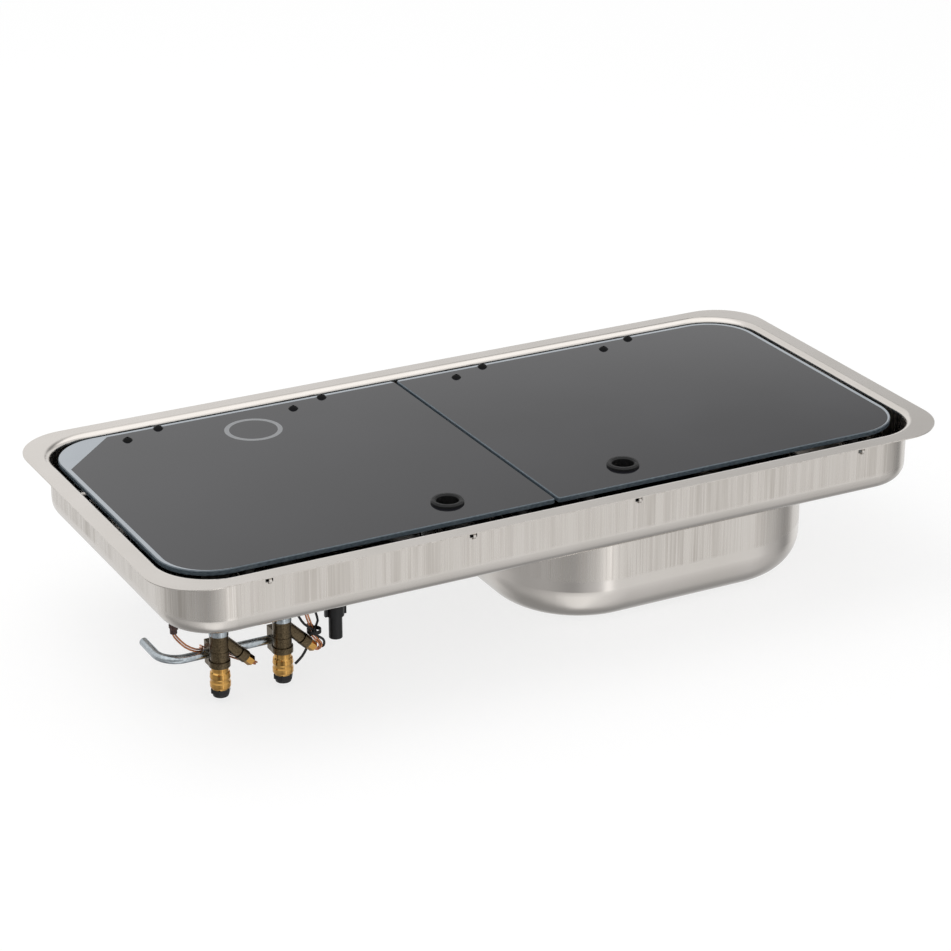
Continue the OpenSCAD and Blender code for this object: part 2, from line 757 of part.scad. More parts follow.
module burner_crown(b) {
  z0 = floor_top + cup_flange_t;
  neck_r = cup_body_r - cup_wall - slip_gap;
  color(alu_c) translate([b[0], b[1], z0]) difference() {
    union() {
      translate([0, 0, crown_step]) cylinder(r = crown_r, h = crown_h - crown_step);
      cylinder(r1 = cup_flange_r - crown_wall, r2 = crown_r, h = crown_step);
      translate([0, 0, -crown_step]) cylinder(r = neck_r, h = 2 * crown_step);
    }
    translate([0, 0, crown_step]) cylinder(r = crown_r - crown_wall, h = crown_h);
    translate([0, 0, -crown_step - over]) cylinder(r = neck_r - cup_wall, h = crown_h);
    for (k = [0 : crown_ports - 1]) rotate([0, 0, 360 * k / crown_ports])
      translate([crown_r - crown_wall - over, -crown_port_w / 2, crown_h - crown_port_h])
        cube([crown_wall + 2 * over, crown_port_w, crown_port_h + over]);
  }
}

module burner_cap(b) {
  r = crown_r - cap_over;
  spigot_r = crown_r - crown_wall - slip_gap;
  color(black_c) translate([b[0], b[1], floor_top + cup_flange_t + crown_h]) rotate_extrude() {
    square([r - cap_edge_r, cap_h]);
    square([r, cap_h - cap_edge_r]);
    translate([r - cap_edge_r, cap_h - cap_edge_r]) circle(cap_edge_r);
    translate([0, -crown_port_h / 2]) square([spigot_r, crown_port_h]);
  }
}

// A bar between two points along an axis of the part
module rod(p, q, r) {
  d = q - p;
  translate(p) rotate([0, acos(d[2] / norm(d)), atan2(d[1], d[0])]) cylinder(r = r, h = norm(d));
}

module pan_support(b) {
  r = support_rod_d / 2;
  h = support_side / 2;
  frame_z = floor_top + foot_h + r;
  bar_z = support_top - r;
  run = h - support_corner_r;
  color(black_c) translate([b[0], b[1], 0]) {
    for (k = [0 : 3]) rotate([0, 0, 90 * k]) {
      rod([h, -run, frame_z], [h, run, frame_z], r);
      translate([run, run, frame_z]) rotate_extrude(angle = 90) translate([support_corner_r, 0]) circle(r);
      rod([h, 0, frame_z], [h, 0, bar_z - support_bend_r], r);
      translate([h - support_bend_r, 0, bar_z - support_bend_r]) rotate([90, 0, 0])
        rotate_extrude(angle = 90) translate([support_bend_r, 0]) circle(r);
      rod([finger_end_r, 0, bar_z], [h - support_bend_r, 0, bar_z], r);
    }
  }
}

module pan_support_feet() {
  d = support_side / 2 - support_corner_r;
  color(black_c) for (b = burners(), sx = [-1, 1]) translate([b[0] + sx * support_side / 2, b[1], floor_top])
    for (sy = [-1, 1]) translate([0, sy * d, 0]) cylinder(r = foot_r, h = foot_h);
}

module injectors() {
  color(brass_c) for (b = burners())
    translate([b[0], b[1], floor_under - cup_body_low]) {
      cylinder(d = injector_hex, h = injector_h / 2, $fn = 6);
      cylinder(r = injector_r, h = injector_h);
    }
}

module spark_electrodes() {
  color(ceramic_c) for (b = burners()) translate([b[0] + b[3][0], b[1] + b[3][1], 0]) {
    translate([0, 0, floor_under - electrode_low]) cylinder(r = electrode_r, h = electrode_low + electrode_up);
    translate([0, 0, floor_under + electrode_up]) cylinder(r = electrode_tip_r, h = electrode_tip_h);
    translate([0, 0, floor_top]) cylinder(r = electrode_r + sheet_t, h = sheet_t);
  }
}

module thermocouple_probes() {
  color(zinc_c) for (b = burners()) translate([b[0] + b[4][0], b[1] + b[4][1], 0]) {
    translate([0, 0, floor_under - probe_low]) cylinder(r = probe_r, h = probe_low + probe_up);
    translate([0, 0, floor_under + probe_up]) cylinder(r1 = probe_r, r2 = probe_r / 2, h = probe_tip_h);
    translate([0, 0, floor_top]) cylinder(r = probe_r + sheet_t, h = sheet_t);
  }
}

// Heights of the tap's stack, from the bottom up
cap_low_z = -taps_dep;
union_low_z = cap_low_z + cap_tot_h;
ring_low_z = union_low_z + union_h;
body_low_z = ring_low_z + tap_ring_h;
body_top_z = body_low_z + tap_body_h;

module tap_cover() {
  color(zinc_c) difference() {
    union() {
      translate([0, 0, body_top_z]) cylinder(r = cover_r, h = floor_under - body_top_z);
      translate([-cover_flange_w / 2, -cover_flange_l / 2, floor_under - cover_flange_t])
        cube([cover_flange_w, cover_flange_l, cover_flange_t]);
      translate([0, 0, pipe_z]) rotate([-90, 0, 0]) cylinder(r = pipe_r + rail_wall, h = rail_back);
    }
    translate([0, 0, floor_under - cover_recess_h]) cylinder(r = cover_recess_r, h = cover_recess_h + over);
    translate([0, 0, floor_under - spindle_low - 2 * push_travel])
      cylinder(r = spindle_r + run_gap, h = spindle_low + 2 * push_travel + over);
    for (s = [-1, 1]) translate([0, s * cover_screw_out, floor_under - cover_flange_t - over])
      cylinder(r = screw_m4_r + run_gap, h = cover_flange_t + 2 * over);
  }
}

// The tap's casting with its 45 degree branch for the flame failure magnet
module tap_body() {
  color(bronze_c) difference() {
    union() {
      translate([0, 0, body_low_z]) cylinder(r = tap_body_r, h = tap_body_h);
      translate([0, 0, body_low_z + tap_body_h * (1 - tap_band_share) - tap_band_h])
        cylinder(r = tap_band_r, h = tap_band_h);
      translate([0, 0, ring_low_z]) cylinder(r = tap_ring_r, h = tap_ring_h);
      translate([0, 0, body_top_z - branch_drop]) rotate([0, 180 - branch_deg, 0]) {
        cylinder(r = branch_r, h = branch_len);
        translate([0, 0, branch_len]) cylinder(r = branch_groove_r, h = branch_groove_len);
        translate([0, 0, branch_len + branch_groove_len]) cylinder(r = branch_end_r, h = branch_end_len);
      }
    }
    translate([0, 0, body_top_z]) cylinder(r = 2 * tap_body_r, h = tap_body_h);
  }
}

module magnet_nut() {
  start = branch_len + branch_groove_len + branch_end_len;
  color(brass_c) translate([0, 0, body_top_z - branch_drop]) rotate([0, 180 - branch_deg, 0])
    translate([0, 0, start]) difference() {
      cylinder(r = magnet_nut_r, h = magnet_nut_len, $fn = 6);
      translate([0, 0, -over]) cylinder(r = strand_out + strand_r + lead_gap, h = magnet_nut_len + 2 * over);
    }
}

// The brass union below the tap: a turned profile with a groove cut by six notches
module tap_union() {
  s = union_shares * union_h;
  color(brass_c) translate([0, 0, union_low_z]) difference() {
    rotate_extrude() polygon([
      [0, s[0]], [union_body_r - union_notch / 2, s[0]], [union_body_r, s[1] / 3], [union_body_r, s[1]],
      [union_groove_r, s[2]], [union_groove_r, s[3]], [union_body_r, s[4]], [union_groove_r, s[5]],
      [union_neck_r, s[6]], [union_neck_r, s[7]], [0, s[7]]
    ]);
    for (k = [0 : 5]) rotate([0, 0, 60 * k]) translate([union_body_r, 0, s[5]])
      rotate([0, 0, 45]) cube(union_notch, center = true);
  }
}

module union_caps() {
  color(black_c) for (k = [0, 1]) tap_place(k) translate([0, 0, cap_low_z]) {
    translate([0, 0, cap_tot_h - cap_hex_h]) cylinder(r = cap_hex_r, h = cap_hex_h, $fn = 6);
    cylinder(r1 = cap_low_r, r2 = cap_hex_r * cos(30), h = cap_tot_h - cap_hex_h);
  }
}

module tap_screws() {
  color(zinc_c) for (k = [0, 1]) tap_place(k) for (s = [-1, 1]) translate([0, s * cover_screw_out, 0]) {
    translate([0, 0, floor_top]) cylinder(r = screw_m4_head_r, h = screw_m4_head_h);
    translate([0, 0, floor_under - cover_flange_t])
      cylinder(r = screw_m4_r, h = cover_flange_t + sheet_t + screw_m4_head_h / 2);
  }
}

module spring_seat() {
  color(zinc_c) translate([0, 0, floor_under - seat_down - seat_t]) difference() {
    cylinder(r = seat_out_r, h = seat_t);
    translate([0, 0, -over]) cylinder(r = spindle_r + run_gap, h = seat_t + 2 * over);
  }
}

module spindle() {
  color(zinc_c) translate([0, 0, floor_under - spindle_low]) cylinder(r = spindle_r, h = spindle_low + spindle_up);
}

module knob() {
  z0 = floor_top + knob_lift;
  color(black_c) difference() {
    union() {
      translate([0, 0, z0]) cylinder(r1 = knob_r, r2 = knob_r - knob_mark_w, h = knob_skirt_h);
      translate([0, 0, z0]) cylinder(r = knob_body_r, h = knob_h - knob_skirt_h);
      intersection() {
        translate([0, 0, z0]) cylinder(r = knob_r - knob_mark_w, h = knob_h);
        translate([-knob_grip_w / 2, -knob_r, z0]) cube([knob_grip_w, 2 * knob_r, knob_h]);
      }
    }
    translate([0, 0, z0 - over]) cylinder(r = spindle_r + run_gap, h = floor_under + spindle_up - z0 + over + run_gap);
    translate([-knob_mark_w / 2, 0, z0 + knob_h - knob_mark_d]) cube([knob_mark_w, knob_r, knob_mark_d + over]);
  }
}

module knob_seals() {
  color(black_c) for (k = [0, 1]) tap_place(k) translate([0, 0, floor_top]) difference() {
    cylinder(r = seal_r, h = seal_h);
    translate([0, 0, -over]) cylinder(r = panel_hole_r, h = seal_h + 2 * over);
  }
}

// The rail runs behind the taps and turns to the back at its left end
module gas_rail() {
  r = rail_d / 2;
  right_x = left_tap_x + tap_pitch + clamp_w / 2;
  bend_x = left_tap_x - rail_out;
  color(zinc_c) translate([0, rail_y, rail_z]) difference() {
    union() {
      rod([bend_x, 0, 0], [right_x, 0, 0], r);
      translate([bend_x, rail_bend_r, 0]) rotate([0, 0, 180]) rotate_extrude(angle = 90)
        translate([rail_bend_r, 0]) circle(r);
      rod([bend_x - rail_bend_r, rail_bend_r, 0], [bend_x - rail_bend_r, rail_bend_r + rail_tail, 0], r);
    }
    translate([bend_x - rail_bend_r, rail_bend_r, 0]) rotate([-90, 0, 0])
      cylinder(r = r - rail_wall, h = rail_tail + over);
  }
}

module rail_clamps() {
  color(bronze_c) for (k = [0, 1]) tap_place(k) difference() {
    translate([-clamp_w / 2, rail_back - clamp_dep / 2, rail_z - clamp_h + clamp_up])
      cube([clamp_w, clamp_dep, clamp_h]);
    translate([-clamp_w / 2 - over, rail_back, rail_z]) rotate([0, 90, 0])
      cylinder(r = rail_d / 2 + run_gap, h = clamp_w + 2 * over);
    translate([0, 0, ring_low_z - over]) cylinder(r = tap_body_r + run_gap, h = 2 * clamp_h);
    translate([0, 0, ring_low_z - clamp_h]) cylinder(r = tap_ring_r + run_gap, h = clamp_h + tap_ring_h);
    translate([0, 0, body_low_z]) cylinder(r = tap_band_r + run_gap, h = clamp_h);
  }
}

module left_feed_pipe() {
  y0 = tap_row_y + rail_back + run_gap;
  y1 = rear_burner_y - cup_body_r - cup_boss_out - run_gap;
  x0 = left_tap_x;
  x1 = rear_burner_x;
  color(alu_c) translate([0, 0, pipe_z]) {
    rod([x0, y0, 0], [x0, pipe_turn_y - pipe_bend_r, 0], pipe_r);
    translate([x0 + pipe_bend_r, pipe_turn_y - pipe_bend_r, 0]) rotate([0, 0, 90])
      rotate_extrude(angle = 90) translate([pipe_bend_r, 0]) circle(pipe_r);
    rod([x0 + pipe_bend_r, pipe_turn_y, 0], [x1 - pipe_bend_r, pipe_turn_y, 0], pipe_r);
    translate([x1 - pipe_bend_r, pipe_turn_y + pipe_bend_r, 0]) rotate([0, 0, -90])
      rotate_extrude(angle = 90) translate([pipe_bend_r, 0]) circle(pipe_r);
    rod([x1, pipe_turn_y + pipe_bend_r, 0], [x1, y1, 0], pipe_r);
  }
}

module right_feed_pipe() {
  y0 = tap_row_y + rail_back + run_gap;
  x0 = left_tap_x + tap_pitch;
  x1 = front_burner_x - cup_body_r - cup_boss_out - run_gap;
  y1 = front_burner_y;
  color(alu_c) translate([0, 0, pipe_z]) {
    rod([x0, y0, 0], [x0, y1 - pipe_bend_r, 0], pipe_r);
    translate([x0 + pipe_bend_r, y1 - pipe_bend_r, 0]) rotate([0, 0, 90])
      rotate_extrude(angle = 90) translate([pipe_bend_r, 0]) circle(pipe_r);
    rod([x0 + pipe_bend_r, y1, 0], [x1, y1, 0], pipe_r);
  }
}

// A hexagon nut on a pipe along X or Y
module feed_nut(turn) {
  rotate([0, 90, turn]) difference() {
    cylinder(d = feed_nut_w, h = feed_nut_l, $fn = 6);
    translate([0, 0, -over]) cylinder(r = pipe_r + run_gap, h = feed_nut_l + 2 * over);
  }
}

module feed_nuts() {
  color(brass_c) {
    for (k = [0, 1]) tap_place(k) translate([0, rail_back + run_gap, pipe_z]) feed_nut(90);
    for (b = burners()) translate([b[0], b[1], pipe_z]) rotate([0, 0, b[2]])
      translate([cup_body_r + cup_boss_out + run_gap, 0, 0]) feed_nut(0);
  }
}

module igniter_body() {
  color(black_c) translate([igniter_x, tap_row_y, 0]) {
    translate([0, 0, -igniter_dep]) difference() {
      cylinder(d = igniter_d, h = igniter_dep - tray_dep + sheet_t);
      translate([0, 0, igniter_dep - tray_dep - button_h - 2 * push_travel])
        cylinder(r = button_neck_r + run_gap, h = 2 * button_h);
    }
    translate([0, 0, floor_top]) difference() {
      cylinder(r = igniter_hole_r, h = seal_h);
      translate([0, 0, -over]) cylinder(r = button_neck_r + run_gap, h = seal_h + 2 * over);
    }
    for (s = [-1, 1]) translate([s * terminal_w / 1.5 - terminal_w / 2 - terminal_w, igniter_d / 2 - terminal_t, terminal_z])
      cube([terminal_w, terminal_t + terminal_len, terminal_w]);
  }
}

module igniter_nut() {
  nut_low = -igniter_dep + igniter_nut_up;
  color(black_c) translate([igniter_x, tap_row_y, nut_low]) difference() {
    union() {
      cylinder(r = igniter_nut_r, h = igniter_nut_h);
      translate([-igniter_nut_r - igniter_ear, -terminal_w / 2, 0])
        cube([2 * (igniter_nut_r + igniter_ear), terminal_w, igniter_nut_h / 2]);
      translate([-terminal_w, 0, 0]) cube([2 * terminal_w, bracket_plate_back, igniter_nut_h / 2]);
    }
    translate([0, 0, -over]) cylinder(r = igniter_d / 2 + run_gap, h = igniter_nut_h + 2 * over);
  }
}

module igniter_button() {
  z0 = floor_top + seal_h + push_travel + seat_gap;
  low = floor_under - button_h - push_travel / 2;
  color(black_c) translate([igniter_x, tap_row_y, 0]) {
    translate([0, 0, z0]) cylinder(r = button_r, h = button_up);
    translate([0, 0, low]) cylinder(r = button_neck_r, h = z0 - low + button_up / 2);
  }
}

module igniter_bracket() {
  low = -igniter_dep + igniter_nut_up;
  y0 = tap_row_y + bracket_plate_back;
  color(steel_c) {
    translate([igniter_x, y0 + bracket_plate_t, 0]) rotate([90, 0, 0]) linear_extrude(bracket_plate_t) polygon([
      [-bracket_plate_hw, floor_under], [-bracket_plate_hw, low + bracket_plate_hw],
      [-bracket_plate_hw / 2, low], [bracket_plate_hw, low], [bracket_plate_hw, floor_under]
    ]);
    translate([igniter_x - bracket_plate_hw, y0, floor_under - bracket_plate_t])
      cube([2 * bracket_plate_hw, bracket_foot, bracket_plate_t]);
  }
}

// A smooth point on a route between points i and i + 1
function route_point(p, i, t) =
  let (n = len(p), a = p[max(i - 1, 0)], b = p[i], c = p[i + 1], d = p[min(i + 2, n - 1)])
  ((2 * b) + (c - a) * t + (2 * a - 5 * b + 4 * c - d) * t * t
   + (3 * b - a - 3 * c + d) * t * t * t) / 2;

function route(p, steps) =
  concat([for (i = [0 : len(p) - 2], k = [0 : steps - 1]) route_point(p, i, k / steps)], [p[len(p) - 1]]);

function unit(v) = v / norm(v);

function tangents(q) =
  [for (i = [0 : len(q) - 1]) unit(q[min(i + 1, len(q) - 1)] - q[max(i - 1, 0)])];

// Each ring's side direction, carried along so that the tube doesn't twist
function sides_along(t, i = 0, s = undef) =
  let (start = s == undef ? unit(cross(t[0], [0.31, 0.95, 0.05])) : unit(s - (s * t[i]) * t[i]))
  i == len(t) - 1 ? [start] : concat([start], sides_along(t, i + 1, start));

// A tube with an elliptical section swept along the points q
module sweep(q, rx, ry, n) {
  t = tangents(q);
  s = sides_along(t);
  m = len(q);
  pts = [for (i = [0 : m - 1], k = [0 : n - 1])
    q[i] + rx * cos(360 * k / n) * s[i] + ry * sin(360 * k / n) * cross(t[i], s[i])];
  skin = [for (i = [0 : m - 2], k = [0 : n - 1])
    each [[i * n + k, i * n + (k + 1) % n, (i + 1) * n + (k + 1) % n],
          [i * n + k, (i + 1) * n + (k + 1) % n, (i + 1) * n + k]]];
  ends = [for (k = [1 : n - 2]) each [[0, k + 1, k], [(m - 1) * n, (m - 1) * n + k, (m - 1) * n + k + 1]]];
  polyhedron([for (v = pts) v], [for (f = concat(skin, ends)) [f[0], f[2], f[1]]]);
}

// Two strands side by side along the route
module thermocouple_lead(p) {
  q = route(p, 2);
  s = sides_along(tangents(q));
  color(copper_c) for (m = [-1, 1])
    sweep([for (i = [0 : len(q) - 1]) q[i] + m * strand_out * s[i]], strand_r, strand_r, lead_sides);
}

module ignition_leads() {
  color(black_c) for (p = spark_lead_routes) sweep(route(p, 2), spark_lead_r, spark_lead_r, lead_sides);
}

module cable_tie() {
  color(black_c) {
    translate(tie_centre - [0, 0, tie_w / 2]) rotate_extrude() translate([tie_r, 0]) square([tie_t, tie_w]);
    translate(tie_centre + [-tie_head[0] / 2, tie_r, -tie_head[2] / 2]) cube(tie_head);
    sweep(route(tie_tail_route, 3), tie_tail_w / 2, tie_tail_t / 2, lead_sides);
  }
}

module lead_clip() {
  color(brown_c) {
    translate([clip_at[0], clip_at[1], clip_z]) difference() {
      union() {
        cylinder(r = clip_sleeve_r, h = clip_len);
        translate([0, 0, clip_len - clip_collar_h]) cylinder(r = clip_collar_r, h = clip_collar_h);
        translate([-clip_strap[0] / 2, -clip_sleeve_r, clip_len / 2])
          cube([clip_strap[0], clip_strap[1], floor_under - clip_z - clip_len / 2]);
      }
      translate([0, 0, -over]) cylinder(r = clip_bore_r, h = clip_len + 2 * over);
    }
  }
}

tray_flange();
tray_walls();
tray_floor();
sink_bowl();
waste_strainer();
lid_rests();
lid_buffers();
hinge_brackets();
hinge_pins();
lid_glass(-1, left_hinge_xs, left_finger_x);  // left_lid_glass
lid_leaves(left_hinge_xs);  // left_lid_leaves
lid_screws(left_hinge_xs);  // left_lid_screws
lid_grommet(left_finger_x);  // left_lid_grommet
lid_glass(1, right_hinge_xs, right_finger_x);  // right_lid_glass
lid_leaves(right_hinge_xs);  // right_lid_leaves
lid_screws(right_hinge_xs);  // right_lid_screws
lid_grommet(right_finger_x);  // right_lid_grommet
burner_cup(burners()[0]);  // rear_burner_cup
burner_crown(burners()[0]);  // rear_burner_crown
burner_cap(burners()[0]);  // rear_burner_cap
burner_cup(burners()[1]);  // front_burner_cup
burner_crown(burners()[1]);  // front_burner_crown
burner_cap(burners()[1]);  // front_burner_cap
pan_support(burners()[0]);  // rear_pan_support
pan_support(burners()[1]);  // front_pan_support
pan_support_feet();
injectors();
spark_electrodes();
thermocouple_probes();
tap_place(0) tap_cover();  // left_tap_cover
tap_place(1) tap_cover();  // right_tap_cover
tap_place(0) tap_body();  // left_tap_body
tap_place(1) tap_body();  // right_tap_body
tap_place(0) magnet_nut();  // left_magnet_nut
tap_place(1) magnet_nut();  // right_magnet_nut
tap_place(0) tap_union();  // left_union
tap_place(1) tap_union();  // right_union
union_caps();
tap_screws();
tap_place(0) spring_seat();  // left_spring_seat
tap_place(1) spring_seat();  // right_spring_seat
tap_place(0) spindle();  // left_spindle
tap_place(1) spindle();  // right_spindle
tap_place(0) knob();  // left_knob
tap_place(1) knob();  // right_knob
knob_seals();
gas_rail();
rail_clamps();
left_feed_pipe();
right_feed_pipe();
feed_nuts();
igniter_body();
igniter_nut();
igniter_button();
igniter_bracket();
thermocouple_lead(left_lead_route);  // left_thermocouple_lead
thermocouple_lead(right_lead_route);  // right_thermocouple_lead
lead_clip();
ignition_leads();
cable_tie();
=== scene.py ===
import math
import bmesh
import bpy
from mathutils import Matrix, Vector


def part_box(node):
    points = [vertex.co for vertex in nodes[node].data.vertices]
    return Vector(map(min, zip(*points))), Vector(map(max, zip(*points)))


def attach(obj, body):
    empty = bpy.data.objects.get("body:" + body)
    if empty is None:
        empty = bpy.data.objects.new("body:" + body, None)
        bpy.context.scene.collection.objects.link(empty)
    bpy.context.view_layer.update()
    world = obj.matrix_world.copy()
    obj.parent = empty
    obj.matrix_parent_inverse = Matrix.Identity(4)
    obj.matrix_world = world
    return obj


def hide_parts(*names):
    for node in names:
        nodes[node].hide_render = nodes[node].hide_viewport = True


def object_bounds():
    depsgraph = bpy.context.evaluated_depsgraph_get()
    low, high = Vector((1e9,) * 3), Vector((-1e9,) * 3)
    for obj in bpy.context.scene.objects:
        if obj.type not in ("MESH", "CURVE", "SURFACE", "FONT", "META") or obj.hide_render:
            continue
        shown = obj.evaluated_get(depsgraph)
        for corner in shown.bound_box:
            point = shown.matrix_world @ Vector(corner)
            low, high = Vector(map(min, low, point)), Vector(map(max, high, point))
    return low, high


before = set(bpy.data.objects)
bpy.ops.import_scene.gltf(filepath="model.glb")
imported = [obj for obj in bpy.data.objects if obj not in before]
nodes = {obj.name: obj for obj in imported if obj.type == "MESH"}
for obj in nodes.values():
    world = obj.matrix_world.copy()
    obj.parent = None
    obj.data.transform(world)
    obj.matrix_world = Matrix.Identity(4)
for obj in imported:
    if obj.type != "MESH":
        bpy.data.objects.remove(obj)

cad_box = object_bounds()
MM = 0.001

# Camera, at the photograph's angle: places in metres, the lens and its sensor in millimetres
AIM = Vector((-0.05123, -0.08003, 0.001))
TOWARDS_CAMERA = Vector((-0.42956, -0.81263, 0.39384))
CAMERA_DISTANCE = 2.59763
LENS = 112.2
SENSOR = 36
NEAREST, FARTHEST = 0.05, 60

camera = bpy.data.objects.new("camera", bpy.data.cameras.new("camera"))
camera.location = AIM + TOWARDS_CAMERA * CAMERA_DISTANCE
camera.rotation_mode = "QUATERNION"
camera.rotation_quaternion = (-TOWARDS_CAMERA).to_track_quat("-Z", "Y")
camera.data.lens = LENS
camera.data.sensor_width = SENSOR
camera.data.clip_start = NEAREST
camera.data.clip_end = FARTHEST
bpy.context.scene.collection.objects.link(camera)
bpy.context.scene.camera = camera
bpy.context.scene.view_settings.view_transform = "Standard"


# Colours, nodes and patterns
def linear(hex_code):
    """An sRGB hex colour as the linear colour that a socket wants."""
    levels = [int(hex_code[i:i + 2], 16) / 255 for i in (1, 3, 5)]
    return [x / 12.92 if x <= 0.04045 else ((x + 0.055) / 1.055) ** 2.4 for x in levels] + [1.0]


def grey(level):
    """A linear grey, above 1 where a lamp is meant."""
    return (level, level, level, 1)


def add(tree, kind, inputs=None, out=0, stops=(), **settings):
    """Adds a node with its settings and links. Gives back the output that out names, or all.

    An input takes a number, a hex colour or another node's output. The stops of a ramp are its
    grey levels, as (place, level) in order."""
    node = tree.nodes.new("ShaderNode" + kind)
    for key, value in settings.items():
        setattr(node, key, value)
    for key, value in (inputs or {}).items():
        if isinstance(value, bpy.types.NodeSocket):
            tree.links.new(value, node.inputs[key])
        else:
            node.inputs[key].default_value = linear(value) if isinstance(value, str) else value
    if stops:
        marks = node.color_ramp.elements
        marks.remove(marks[1])
        node.color_ramp.interpolation = "EASE"
        for i, (place, level) in enumerate(stops):
            mark = marks[0] if i == 0 else marks.new(place)
            mark.position = place
            mark.color = grey(level)
    return node.outputs if out == "all" else node.outputs[out]


def material(name, colour, metallic=0.0, roughness=0.5, **sockets):
    """A material with its tree and shader. What is the same all over is set on the shader."""
    mat = bpy.data.materials.new(name)
    mat.use_nodes = True
    shader = mat.node_tree.nodes["Principled BSDF"]
    shader.inputs["Base Color"].default_value = linear(colour)
    shader.inputs["Metallic"].default_value = metallic
    shader.inputs["Roughness"].default_value = roughness
    for key, value in sockets.items():
        shader.inputs[key.replace("_", " ")].default_value = value
    return mat, mat.node_tree, shader


def place_mm(tree):
    """Each point's place on the object, in millimetres."""
    place = add(tree, "TexCoord", out="Object")
    return add(tree, "VectorMath", {0: place, "Scale": 1 / MM}, operation="SCALE")


def grain(tree, size, detail=2.0, roughness=0.5):
    """Noise whose grains measure size in millimetres, or (x, y, z) where they are long."""
    lengths = size if isinstance(size, tuple) else (size, size, size)
    scaled = add(tree, "VectorMath", {0: place_mm(tree), 1: [1 / length for length in lengths]},
                 operation="MULTIPLY")
    return add(tree, "TexNoise", {"Vector": scaled, "Scale": 1.0, "Detail": detail,
                                  "Roughness": roughness}, out="Fac")


def dress(tree, shader, colour=None, roughness=None, relief=None):
    """Gives a finish its patterns.

    Colour and roughness are (pattern, low, high, start, end): the finish runs from start to end
    while the pattern goes from low to high. Relief is (pattern, depth in mm, strength)."""
    if colour:
        pattern, low, high, start, end = colour
        share = add(tree, "MapRange", {"Value": pattern, "From Min": low, "From Max": high})
        mixed = add(tree, "Mix", {"Factor": share, 6: start, 7: end}, out=2, data_type="RGBA")
        tree.links.new(mixed, shader.inputs["Base Color"])
    if roughness:
        pattern, low, high, start, end = roughness
        level = add(tree, "MapRange", {"Value": pattern, "From Min": low, "From Max": high,
                                       "To Min": start, "To Max": end})
        tree.links.new(level, shader.inputs["Roughness"])
    if relief:
        pattern, depth, strength = relief
        bump = add(tree, "Bump", {"Height": pattern, "Distance": depth * MM, "Strength": strength})
        tree.links.new(bump, shader.inputs["Normal"])


# Finishes of the pressing. Heights in millimetres: where each wall rises out of its lower bend,
# and the tray's floor, under which the bowl's wall begins
TRAY_WALL_FOOT = {"From Min": -39.5, "From Max": -36.5}
BOWL_WALL_FOOT = {"From Min": -103.0, "From Max": -100.5}
UNDER_TRAY_FLOOR = {"From Min": -56.0, "From Max": -55.0, "To Min": 1.0, "To Max": 0.0}
# How far a wall's normal may lean up or down, as its z
UPRIGHT = {"From Min": 0.25, "From Max": 0.05}


def straight_walls(tree):
    """1 on the straight, upright part of the tray's and the bowl's walls, 0 elsewhere."""
    height = add(tree, "SeparateXYZ", {0: place_mm(tree)}, out=2)
    normal_z = add(tree, "SeparateXYZ", {0: add(tree, "NewGeometry", out="Normal")}, out=2)
    lean = add(tree, "Math", {0: normal_z}, operation="ABSOLUTE")
    upright = add(tree, "MapRange", {"Value": lean, **UPRIGHT})
    on_tray = add(tree, "MapRange", {"Value": height, **TRAY_WALL_FOOT})
    over_foot = add(tree, "MapRange", {"Value": height, **BOWL_WALL_FOOT})
    under_floor = add(tree, "MapRange", {"Value": height, **UNDER_TRAY_FLOOR})
    on_bowl = add(tree, "Math", {0: over_foot, 1: under_floor}, operation="MULTIPLY")
    on_wall = add(tree, "Math", {0: on_tray, 1: on_bowl}, operation="MAXIMUM")
    return add(tree, "Math", {0: on_wall, 1: upright}, operation="MULTIPLY")


def drawn_stainless():
    """Stainless steel 1.4301, deep drawn: a satin sheet with a warm grey cast.

    The draw leaves upright scuffs, in patches, on the straight part of each wall. Real ones are
    about a tenth of a millimetre wide, and these are 1 mm wide so that they show. Where the
    blank bent below them it is smooth and a little brighter."""
    mat, tree, shader = material("drawn_stainless_steel", "#d0cbc3", metallic=1.0, roughness=0.28)
    patch = add(tree, "MapRange", {"Value": grain(tree, (60.0, 60.0, 400.0), detail=1.0),
                                   "From Min": 0.35, "From Max": 0.66, "To Min": 0.25})
    scuffed = add(tree, "Math", {0: straight_walls(tree), 1: patch}, operation="MULTIPLY")
    fine = grain(tree, (1.0, 1.0, 130.0), detail=1.0)
    broad = grain(tree, (6.0, 6.0, 200.0), detail=1.0)
    both = add(tree, "Math", {0: fine, 1: broad}, operation="ADD")
    streak = add(tree, "MapRange", {"Value": both, "From Min": 0.76, "From Max": 1.16})
    cloud = add(tree, "MapRange", {"Value": grain(tree, 60.0), "From Min": 0.3, "From Max": 0.7})
    plain = add(tree, "Mix", {"Factor": cloud, 6: "#cfcac4", 7: "#d4cfca"}, out=2,
                data_type="RGBA")
    lined = add(tree, "Mix", {"Factor": streak, 6: "#beb8b1", 7: "#d3cec8"}, out=2,
                data_type="RGBA")
    tone = add(tree, "Mix", {"Factor": scuffed, 6: plain, 7: lined}, out=2, data_type="RGBA")
    tree.links.new(tone, shader.inputs["Base Color"])
    dull = add(tree, "MapRange", {"Value": streak, "To Min": 0.38, "To Max": 0.27})
    satin = add(tree, "Mix", {"Factor": scuffed, 2: 0.22, 3: dull}, data_type="FLOAT")
    tree.links.new(satin, shader.inputs["Roughness"])
    scratch = add(tree, "Math", {0: fine, 1: scuffed}, operation="MULTIPLY")
    dress(tree, shader, relief=(scratch, 0.02, 0.35))
    return mat


